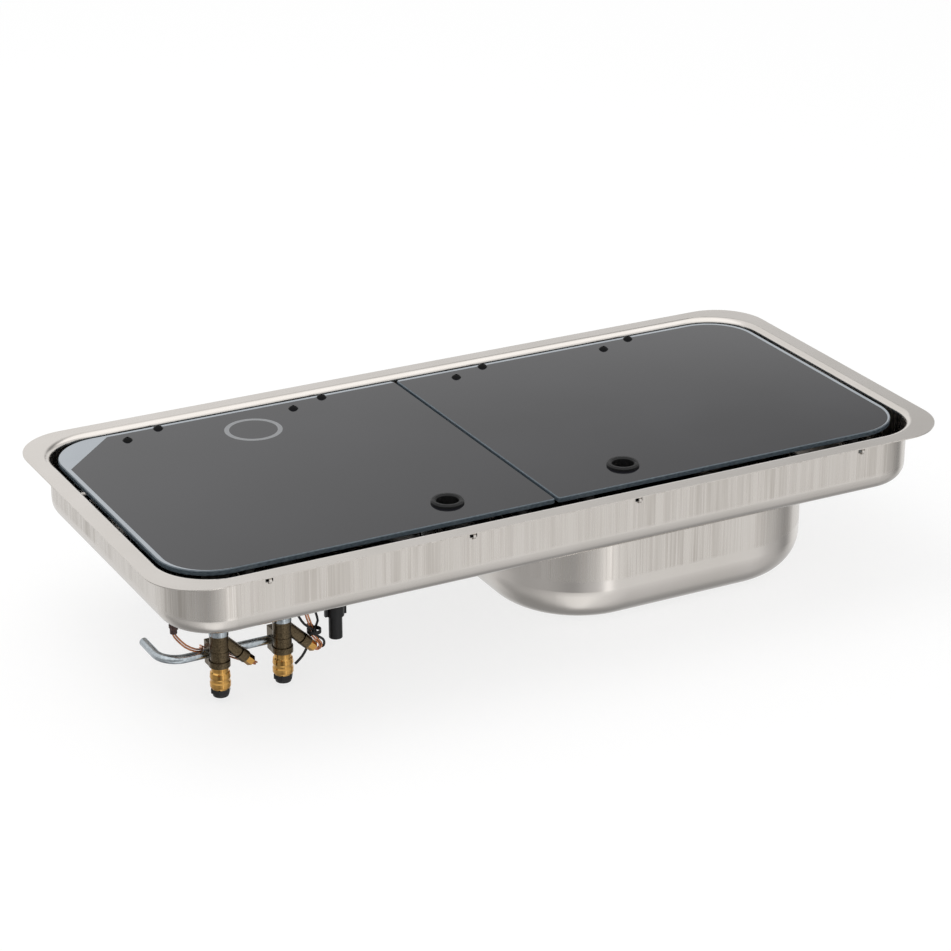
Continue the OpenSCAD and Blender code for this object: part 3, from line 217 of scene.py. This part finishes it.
def polished_steel():
    """Stainless steel, mechanically polished, with a faint swirl left by the mop."""
    mat, tree, shader = material("polished_stainless_steel", "#d6d3cd", metallic=1.0, roughness=0.12)
    swirl = grain(tree, 1.5, detail=3.0)
    dress(tree, shader, colour=(swirl, 0.3, 0.7, "#cfccc6", "#dcd9d4"),
          roughness=(swirl, 0.3, 0.7, 0.09, 0.2))
    return mat


# Finishes of the fittings. Tool marks, grit and the grain of a mould or die are drawn several
# times coarser than the real ones, as coarse as they need to be to show
def zinc_plate():
    """Zinc-plated steel pipe: bluish grey, faintly mottled where the plating has dulled."""
    mat, tree, shader = material("zinc_plated_steel", "#a9b0b5", metallic=1.0, roughness=0.2)
    blotch = grain(tree, 2.4, detail=3.0, roughness=0.6)
    dress(tree, shader, colour=(blotch, 0.35, 0.65, "#9ba3a8", "#b9c0c5"),
          roughness=(blotch, 0.35, 0.65, 0.13, 0.24), relief=(grain(tree, 0.8), 0.015, 0.4))
    return mat


def valve_bronze():
    """Hot-pressed bronze, unpolished: dark olive brown, with the grain of the die."""
    mat, tree, shader = material("pressed_bronze", "#6a5c45", metallic=0.95, roughness=0.36)
    patch = grain(tree, 1.3, detail=3.0, roughness=0.6)
    die = grain(tree, 0.7, detail=3.0, roughness=0.6)
    dress(tree, shader, colour=(patch, 0.30, 0.72, "#43392a", "#6e604a"),
          roughness=(patch, 0.3, 0.7, 0.24, 0.42), relief=(die, 0.05, 0.6))
    return mat


def turned_brass():
    """Free-cutting brass, turned: bright yellow with fine rings round its axis."""
    mat, tree, shader = material("turned_brass", "#bd9150", metallic=1.0, roughness=0.12)
    rings = grain(tree, (200.0, 200.0, 0.6), detail=1.0)
    dress(tree, shader, colour=(rings, 0.3, 0.7, "#b38545", "#c99f5c"),
          roughness=(rings, 0.3, 0.7, 0.09, 0.18), relief=(rings, 0.01, 0.2))
    return mat


def drawn_copper():
    """Copper capillary, drawn and lightly tarnished."""
    mat, tree, shader = material("drawn_copper", "#c98458", metallic=1.0, roughness=0.3)
    tarnish = grain(tree, 6.0, detail=3.0, roughness=0.55)
    dress(tree, shader, colour=(tarnish, 0.35, 0.7, "#d3946a", "#96593a"),
          roughness=(tarnish, 0.35, 0.7, 0.26, 0.42))
    return mat


def blacked_screw():
    """Screw steel blacked in an oxide bath: near black with a soft metal glint."""
    mat, tree, shader = material("black_oxide_steel", "#070708", metallic=0.1, roughness=0.25,
                                 Specular_IOR_Level=0.1)
    dress(tree, shader, colour=(grain(tree, 1.2), 0.3, 0.7, "#060607", "#0b0b0c"))
    return mat


def cast_aluminium():
    """Die-cast aluminium, bead blasted: pale matt grey."""
    mat, tree, shader = material("blasted_aluminium", "#b9bbbd", metallic=1.0, roughness=0.5)
    bead = grain(tree, 0.6)
    dress(tree, shader, colour=(grain(tree, 12.0), 0.3, 0.7, "#aeb0b3", "#c4c6c8"),
          roughness=(bead, 0.3, 0.7, 0.42, 0.58), relief=(bead, 0.03, 0.5))
    return mat


def pan_enamel():
    """Vitreous enamel fired on steel: deep black, glossy, faintly orange-peeled."""
    mat, tree, shader = material("black_vitreous_enamel", "#0e0e0f", roughness=0.2, IOR=1.5)
    peel = grain(tree, 2.2)
    dress(tree, shader, colour=(peel, 0.3, 0.7, "#0b0b0c", "#161617"),
          roughness=(peel, 0.3, 0.7, 0.16, 0.28), relief=(peel, 0.04, 0.4))
    return mat


def glazed_ceramic():
    """Glazed alumina insulator: warm white."""
    mat, tree, shader = material("glazed_alumina", "#e9e5db", roughness=0.22)
    dress(tree, shader, colour=(grain(tree, 4.0), 0.3, 0.7, "#e2ddd1", "#efece4"))
    return mat


def nitrile_rubber():
    """Moulded nitrile rubber: black with a dull bloom."""
    mat, tree, shader = material("nitrile_rubber", "#0d0d0e", roughness=0.45, Specular_IOR_Level=0.3)
    bloom = grain(tree, 2.0, detail=3.0)
    dress(tree, shader, colour=(bloom, 0.35, 0.7, "#0b0b0c", "#131314"),
          roughness=(bloom, 0.3, 0.7, 0.42, 0.62), relief=(grain(tree, 0.4), 0.02, 0.4))
    return mat


def black_moulding():
    """Glass-filled polyamide, moulded: black with a fine spark-eroded texture."""
    mat, tree, shader = material("black_polyamide", "#101011", roughness=0.42, Specular_IOR_Level=0.35)
    spark = grain(tree, 0.45)
    dress(tree, shader, colour=(grain(tree, 8.0), 0.3, 0.7, "#0d0d0e", "#151517"),
          roughness=(spark, 0.3, 0.7, 0.34, 0.52), relief=(spark, 0.03, 0.5))
    return mat


def brown_sleeve():
    """Brown PVC sleeve, soft and slightly dusty."""
    mat, tree, shader = material("brown_pvc", "#3b2620", roughness=0.5)
    dust = grain(tree, 3.0, detail=3.0)
    dress(tree, shader, colour=(dust, 0.3, 0.7, "#2e1813", "#43261e"),
          roughness=(dust, 0.3, 0.7, 0.42, 0.6))
    return mat


# Finishes of the lids. Glass and the prints fired on it share one index
GLASS_IOR = 1.52


def lid_print():
    """Toughened glass with a black ceramic print fired on its back: a polished dark face."""
    mat, tree, shader = material("black_printed_glass", "#131417", roughness=0.06, IOR=GLASS_IOR)
    haze = grain(tree, 120.0)
    dress(tree, shader, colour=(haze, 0.3, 0.7, "#131318", "#18181e"),
          roughness=(haze, 0.3, 0.7, 0.05, 0.09))
    return mat


def lid_margin():
    """The unprinted border of the lid: clear glass over steel, drawn opaque. Its cool light grey is
    painted light, standing in for the lit steel seen through the glass.
    """
    mat, tree, shader = material("clear_glass_border_painted_light", "#a4abb1", roughness=0.08, IOR=GLASS_IOR)
    dress(tree, shader, colour=(grain(tree, 60.0), 0.3, 0.7, "#9fa6ad", "#acb3b9"))
    return mat


def lid_edge():
    """Ground glass edge: silky blue grey, which catches the light along its arris. The lines of
    the wheel are drawn coarser than they are, so that they show."""
    mat, tree, shader = material("ground_glass_edge", "#4a555d", roughness=0.22, IOR=GLASS_IOR)
    lines = grain(tree, (4.0, 4.0, 0.5))
    dress(tree, shader, colour=(lines, 0.3, 0.7, "#4b565f", "#606d76"),
          roughness=(lines, 0.3, 0.7, 0.2, 0.35))
    return mat


def lid_mark():
    """Grey ceramic print on the lid, for a plain ring."""
    mat, tree, shader = material("grey_ceramic_print", "#8f9194", roughness=0.12, IOR=GLASS_IOR)
    dress(tree, shader, colour=(grain(tree, 1.2), 0.3, 0.7, "#7a7c7f", "#8a8c8f"))
    return mat


# Which nodes take each finish
finishes = {
    drawn_stainless(): ["tray_flange", "tray_walls", "tray_floor", "sink_bowl", "lid_rests",
                        "igniter_bracket"],
    polished_steel(): ["waste_strainer"],
    zinc_plate(): ["gas_rail", "left_tap_cover", "right_tap_cover", "tap_screws",
                   "left_spring_seat", "right_spring_seat", "left_spindle", "right_spindle",
                   "thermocouple_probes"],
    valve_bronze(): ["left_tap_body", "right_tap_body", "rail_clamps"],
    turned_brass(): ["left_union", "right_union", "left_magnet_nut", "right_magnet_nut",
                     "injectors", "feed_nuts"],
    drawn_copper(): ["left_thermocouple_lead", "right_thermocouple_lead"],
    nitrile_rubber(): ["lid_buffers", "left_lid_grommet", "right_lid_grommet",
                       "pan_support_feet", "knob_seals"],
    black_moulding(): ["union_caps", "left_knob", "right_knob", "igniter_body", "igniter_nut",
                       "igniter_button", "ignition_leads", "cable_tie"],
    blacked_screw(): ["left_lid_screws", "right_lid_screws", "left_lid_leaves",
                      "right_lid_leaves", "hinge_brackets", "hinge_pins"],
    pan_enamel(): ["rear_burner_cap", "front_burner_cap", "rear_pan_support",
                   "front_pan_support"],
    cast_aluminium(): ["rear_burner_cup", "front_burner_cup", "rear_burner_crown",
                       "front_burner_crown", "left_feed_pipe", "right_feed_pipe"],
    glazed_ceramic(): ["spark_electrodes"],
    brown_sleeve(): ["lead_clip"],
}
for mat, names in finishes.items():
    for name in names:
        nodes[name].data.materials.clear()
        nodes[name].data.materials.append(mat)

# Every solid shades smooth across its rounds, and sharp where faces meet at more than this
SOLID_CREASE = math.radians(32)
for obj in nodes.values():
    obj.data.shade_smooth()
    obj.data.set_sharp_from_angle(angle=SOLID_CREASE)

# Glass lids, in millimetres. A pane's outline and thickness come from its node's box
OUTER_ROUND, SEAM_ROUND, LEAST_ROUND = 48, 3, 0.4
ARRIS = 0.8
FINGER_HOLE_R, FINGER_HOLE_Y = 11.6, -115.0
# How far inside the edge the print stops: a hair where the glass is printed to its arris
HAIR, BORDER, LEFT_BORDER = 1.1, 4.2, 4.6
# The plain ring on the left lid, and what y - x comes to where its rear corner turns clear
RING_X, RING_Y, RING_OUT_R, RING_IN_R = -177.7, 113.8, 26.6, 22.2
CLEAR_CORNER = 461.7
ROUND_STEPS, HOLE_STEPS, RING_STEPS = 16, 64, 96
GLASS_CREASE = math.radians(25)
# Points are the same where they agree to this many digits of a metre
SAME_DIGITS = 7
# A pane's slots, and their materials in the same order
PRINTED, CLEAR, GROUND, MARKED = range(4)
# The clear slot's light grey is painted light seen through the glass, on the border and on the clear
# corner
pane_materials = (lid_print(), lid_margin(), lid_edge(), lid_mark())
# The parts of a pane's outline, in the order in which pane_loop goes round
OUTLINE = ("front_right", "right", "back_right", "back", "back_left", "left", "front_left", "front")


def pane_loop(sides, radii, right, back, left, front):
    """Points round a pane, each side drawn in by its own amount, corner by corner."""
    x0, y0, x1, y1 = sides
    x0, y0, x1, y1 = x0 + left, y0 + front, x1 - right, y1 - back
    corners = ((x1, y0, -1, 1, -90, max(right, front)), (x1, y1, -1, -1, 0, max(right, back)),
               (x0, y1, 1, -1, 90, max(left, back)), (x0, y0, 1, 1, 180, max(left, front)))
    points = []
    for (corner_x, corner_y, in_x, in_y, start, inset), radius in zip(corners, radii):
        round_r = max(radius - inset, LEAST_ROUND)
        for i in range(ROUND_STEPS + 1):
            angle = math.radians(start + 90 * i / ROUND_STEPS)
            points.append((corner_x + in_x * round_r + round_r * math.cos(angle),
                           corner_y + in_y * round_r + round_r * math.sin(angle)))
    return points


def circle_loop(x, y, radius, steps):
    """Points round a circle."""
    angles = [2 * math.pi * i / steps for i in range(steps)]
    return [(x + radius * math.cos(angle), y + radius * math.sin(angle)) for angle in angles]


def cut_by(points, side):
    """The part of a loop where side(x, y) is positive, cut straight across."""
    kept = []
    for (ax, ay), (bx, by) in zip(points, points[1:] + points[:1]):
        a, b = side(ax, ay), side(bx, by)
        if a > 0:
            kept.append((ax, ay))
        if (a > 0) != (b > 0):
            share = a / (a - b)
            kept.append((ax + share * (bx - ax), ay + share * (by - ay)))
    return kept


def ring_verts(glass, points, z):
    """Vertices of the glass at a loop's points."""
    return [glass.verts.new((x * MM, y * MM, z * MM)) for x, y in points]


def wall(glass, low, high, slots):
    """A band between two loops, in one slot, or in one for each part of the outline in turn.

    A corner of the outline has ROUND_STEPS faces, and the side after it has one."""
    count = len(low)
    for i in range(count):
        after = (i + 1) % count
        quad = glass.faces.new((low[i], low[after], high[after], high[i]))
        corner, step = divmod(i, ROUND_STEPS + 1)
        part = 2 * corner + (step == ROUND_STEPS)
        quad.material_index = slots[part] if isinstance(slots, tuple) else slots


def fill(glass, loops, slot):
    """Fills the area between closed loops of vertices, holes left open."""
    edges = []
    for loop in loops:
        for a, b in zip(loop, loop[1:] + loop[:1]):
            edges.append(glass.edges.get((a, b)) or glass.edges.new((a, b)))
    made = bmesh.ops.triangle_fill(glass, edges=edges, use_beauty=True, use_dissolve=False,
                                   normal=(0, 0, 1))
    for part in made["geom"]:
        if isinstance(part, bmesh.types.BMFace):
            part.material_index = slot


def print_ring(glass, z):
    """The plain ring, with print inside it. Gives back its outer loop."""
    outer = ring_verts(glass, circle_loop(RING_X, RING_Y, RING_OUT_R, RING_STEPS), z)
    inner = ring_verts(glass, circle_loop(RING_X, RING_Y, RING_IN_R, RING_STEPS), z)
    for i in range(RING_STEPS):
        after = (i + 1) % RING_STEPS
        quad = glass.faces.new((inner[i], inner[after], outer[after], outer[i]))
        quad.material_index = MARKED
    fill(glass, [inner], PRINTED)
    return outer


def split_face(glass, inner, face, holes, z):
    """A face cut slantwise into its print, round the holes, and its clear rear corner."""
    known = {(round(v.co.x, SAME_DIGITS), round(v.co.y, SAME_DIGITS)): v for v in face}

    def on_face(points):
        loop = []
        for x, y in points:
            key = (round(x * MM, SAME_DIGITS), round(y * MM, SAME_DIGITS))
            if key not in known:
                known[key] = glass.verts.new((x * MM, y * MM, z * MM))
            loop.append(known[key])
        return loop

    print_field = on_face(cut_by(inner, lambda x, y: CLEAR_CORNER - (y - x)))
    clear_corner = cut_by(inner, lambda x, y: (y - x) - CLEAR_CORNER)
    fill(glass, [print_field] + holes, PRINTED)
    fill(glass, [on_face(clear_corner)], CLEAR)


def make_lid(name, node, body, radii, margins, clear, finger_x, marked=False):
    """A pane with its arris, its finger hole and its print, which stops short of the edge at the
    parts of the outline that clear names. A marked pane has the plain ring and clear corner."""
    (x0, y0, under), (x1, y1, top) = [[round(v / MM, 3) for v in end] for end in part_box(node)]
    sides = (x0, y0, x1, y1)
    outer = pane_loop(sides, radii, 0, 0, 0, 0)
    flat = pane_loop(sides, radii, ARRIS, ARRIS, ARRIS, ARRIS)
    inner = pane_loop(sides, radii, *margins)
    hole = circle_loop(finger_x, FINGER_HOLE_Y, FINGER_HOLE_R, HOLE_STEPS)
    glass = bmesh.new()
    hole_low = ring_verts(glass, hole, under)
    hole_top = ring_verts(glass, hole, top)
    low_rim = ring_verts(glass, flat, under)
    low = ring_verts(glass, outer, under + ARRIS)
    high = ring_verts(glass, outer, top - ARRIS)
    rim = ring_verts(glass, flat, top)
    face = ring_verts(glass, inner, top)
    wall(glass, low_rim, low, GROUND)
    wall(glass, low, high, GROUND)
    wall(glass, high, rim, GROUND)
    wall(glass, rim, face, tuple(CLEAR if part in clear else PRINTED for part in OUTLINE))
    wall(glass, hole_top, hole_low, GROUND)
    fill(glass, [low_rim, hole_low], PRINTED)
    if marked:
        split_face(glass, inner, face, [hole_top, print_ring(glass, top)], top)
    else:
        fill(glass, [face, hole_top], PRINTED)
    bmesh.ops.recalc_face_normals(glass, faces=glass.faces)
    mesh = bpy.data.meshes.new(name)
    glass.to_mesh(mesh)
    glass.free()
    for mat in pane_materials:
        mesh.materials.append(mat)
    mesh.shade_smooth()
    mesh.set_sharp_from_angle(angle=GLASS_CREASE)
    obj = bpy.data.objects.new(name, mesh)
    bpy.context.scene.collection.objects.link(obj)
    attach(obj, body)
    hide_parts(node)


# Radii run from the front right corner round to the front left, margins right, back, left, front
make_lid("left_lid_pane", "left_lid_glass", "left_lid",
         (SEAM_ROUND, SEAM_ROUND, OUTER_ROUND, OUTER_ROUND), (HAIR, BORDER, LEFT_BORDER, HAIR),
         clear=("back", "back_left", "left", "front_left"), finger_x=-97.0, marked=True)
make_lid("right_lid_pane", "right_lid_glass", "right_lid",
         (OUTER_ROUND, OUTER_ROUND, SEAM_ROUND, SEAM_ROUND), (BORDER, BORDER, HAIR, HAIR),
         clear=("front_right", "right", "back_right", "back", "back_left"), finger_x=78.0)

# Floor, in metres: just below the object, and wide enough to fill every view
FLOOR_GAP = 0.0001
FLOOR_HALF = 15
# White paper as the camera sees it is a dim matt, which takes the shadow, under an even glow
PAPER_MATT, PAPER_GLOW = 0.30, 0.745
# What the paper gives back to the object
PAPER_BOUNCE = 0.8


def studio_paper():
    """White paper under the object's shadow, which lights the object from below. Gloss looks
    through it to the studio."""
    mat = bpy.data.materials.new("white_studio_paper")
    mat.use_nodes = True
    tree = mat.node_tree
    tree.nodes.clear()
    ray = add(tree, "LightPath", out="all")
    matt = add(tree, "BsdfDiffuse", {"Color": grey(PAPER_MATT)})
    glow = add(tree, "Emission", {"Color": grey(1), "Strength": PAPER_GLOW})
    seen = add(tree, "AddShader", {0: matt, 1: glow})
    bounce = add(tree, "BsdfDiffuse", {"Color": grey(PAPER_BOUNCE)})
    clear = add(tree, "BsdfTransparent", {"Color": grey(1)})
    by_camera = add(tree, "MixShader", {0: ray["Is Camera Ray"], 1: bounce, 2: seen})
    by_gloss = add(tree, "MixShader", {0: ray["Is Glossy Ray"], 1: by_camera, 2: clear})
    add(tree, "OutputMaterial", {0: by_gloss}, out="all")
    return mat


floor_z = cad_box[0][2] - FLOOR_GAP
floor = bpy.data.objects.new("floor", bpy.data.meshes.new("floor"))
sheet = bmesh.new()
sheet.faces.new([sheet.verts.new((x * FLOOR_HALF, y * FLOOR_HALF, floor_z))
                 for x, y in ((-1, -1), (1, -1), (1, 1), (-1, 1))])
sheet.to_mesh(floor.data)
sheet.free()
bpy.context.scene.collection.objects.link(floor)
floor.data.materials.append(studio_paper())

# The studio that gloss sees, in grey levels. Round the object they go by share of a turn: 0.5 is
# the front, 0.25 the left, 0.75 the right, and 0 and 1 the back. At eye level there is a narrow
# bright lamp just right of the front, with a flag at each side
AROUND = ((0.00, 0.98), (0.09, 0.88), (0.17, 0.66), (0.24, 0.48), (0.32, 0.48), (0.41, 0.20),
          (0.47, 0.52), (0.505, 0.78), (0.515, 1.7), (0.53, 1.7), (0.54, 0.92), (0.60, 0.95),
          (0.67, 0.62), (0.74, 0.30), (0.80, 1.0), (0.90, 0.95))
# The same lower down, where the table's front edge is the brightest
LOWER = ((0.08, 0.82), (0.16, 0.44), (0.25, 0.56), (0.33, 0.72), (0.39, 1.08), (0.46, 1.2),
         (0.54, 0.90), (0.66, 0.66), (0.74, 0.54), (0.83, 0.60), (0.92, 0.75))
# By height, the backdrop ends in a dim band of ceiling, and a softbox hangs overhead
OVERHEAD = ((0.0, 1.0), (0.33, 1.0), (0.385, 0.50), (0.45, 0.25), (0.60, 0.32), (0.72, 0.45),
            (0.82, 1.1), (0.92, 1.7))
BACKDROP, GLARE, OWN_SHADOW = 1.08, 1.5, 0.36
# Which way a reflection looks, by the x, y or z of its direction: right, back and up are above 0
LOOKS_DOWN = {"From Min": -0.42, "From Max": -0.58}
LOOKS_UNDER = {"From Min": -0.65, "From Max": -0.85}
LOOKS_BEYOND = {"From Min": -0.20, "From Max": 0.15}
LOOKS_RIGHT = {"From Min": 0.30, "From Max": 0.56, "To Min": 0.10}
LOOKS_FORWARD = {"From Min": 0.45, "From Max": 0.10}
LOOKS_HIGH = {"From Min": 0.32, "From Max": 0.60}
LOOKS_UP = {"From Min": -0.1, "From Max": 0.2}
# The even light that all but gloss and the camera find
DAYLIGHT = 0.75


def glossy_studio(tree):
    """The grey that a reflection finds in each direction."""
    x, y, z = add(tree, "SeparateXYZ", {0: add(tree, "TexCoord", out="Generated")}, out="all")
    to_front = add(tree, "Math", {0: y, 1: -1.0}, operation="MULTIPLY")
    turn = add(tree, "Math", {0: x, 1: to_front}, operation="ARCTAN2")
    share = add(tree, "MapRange", {"Value": turn, "From Min": -math.pi, "From Max": math.pi})
    around = add(tree, "ValToRGB", {0: share}, stops=AROUND)
    lower = add(tree, "ValToRGB", {0: share}, stops=LOWER)
    down = add(tree, "MapRange", {"Value": z, **LOOKS_DOWN})
    room = add(tree, "Mix", {"Factor": down, 6: around, 7: lower}, out=2, data_type="RGBA")
    # Below and beyond lies the object's own shadow on the table
    steep = add(tree, "MapRange", {"Value": z, **LOOKS_UNDER})
    beyond = add(tree, "MapRange", {"Value": y, **LOOKS_BEYOND})
    shadow = add(tree, "Math", {0: steep, 1: beyond}, operation="MULTIPLY")
    table = add(tree, "Mix", {"Factor": shadow, 6: room, 7: grey(OWN_SHADOW)}, out=2,
                data_type="RGBA")
    # The dim band of ceiling is deepest to the right
    overhead = add(tree, "ValToRGB", {0: z}, stops=OVERHEAD)
    side = add(tree, "MapRange", {"Value": x, **LOOKS_RIGHT})
    ceiling = add(tree, "Mix", {"Factor": side, 6: grey(BACKDROP), 7: overhead}, out=2,
                  data_type="RGBA")
    # The softbox reaches forward over the front, where the rim's rear bend shows it
    forward = add(tree, "MapRange", {"Value": y, **LOOKS_FORWARD})
    high = add(tree, "MapRange", {"Value": z, **LOOKS_HIGH})
    reach = add(tree, "Math", {0: forward, 1: high}, operation="MULTIPLY")
    roof = add(tree, "Mix", {"Factor": reach, 6: ceiling, 7: grey(GLARE)}, out=2,
               data_type="RGBA")
    up = add(tree, "MapRange", {"Value": z, **LOOKS_UP})
    return add(tree, "Mix", {"Factor": up, 6: table, 7: roof}, out=2, data_type="RGBA")


def studio_world():
    """White for the camera, the studio for gloss, and an even light for all else."""
    world = bpy.data.worlds.new("studio")
    world.use_nodes = True
    tree = world.node_tree
    tree.nodes.clear()
    ray = add(tree, "LightPath", out="all")
    gloss = add(tree, "Background", {"Color": glossy_studio(tree), "Strength": 1.0})
    light = add(tree, "Background", {"Color": grey(1), "Strength": DAYLIGHT})
    white = add(tree, "Background", {"Color": grey(1), "Strength": 1.0})
    to_gloss = add(tree, "MixShader", {0: ray["Is Glossy Ray"], 1: light, 2: gloss})
    to_camera = add(tree, "MixShader", {0: ray["Is Camera Ray"], 1: to_gloss, 2: white})
    add(tree, "OutputWorld", {0: to_camera}, out="all")
    return world


bpy.context.scene.world = studio_world()

# Softbox over the left rear, in metres and watts, turned to the object
SOFTBOX_SIZE = (2.2, 1.6)
SOFTBOX_POWER = 14.0
SOFTBOX_PLACE = Vector((-0.7, 0.5, 2.2))

lamp = bpy.data.lights.new("softbox", "AREA")
lamp.shape = "RECTANGLE"
lamp.size, lamp.size_y = SOFTBOX_SIZE
lamp.energy = SOFTBOX_POWER
softbox = bpy.data.objects.new("softbox", lamp)
softbox.location = SOFTBOX_PLACE
softbox.rotation_mode = "QUATERNION"
softbox.rotation_quaternion = (-SOFTBOX_PLACE).to_track_quat("-Z", "Y")
softbox.visible_glossy = False
bpy.context.scene.collection.objects.link(softbox)
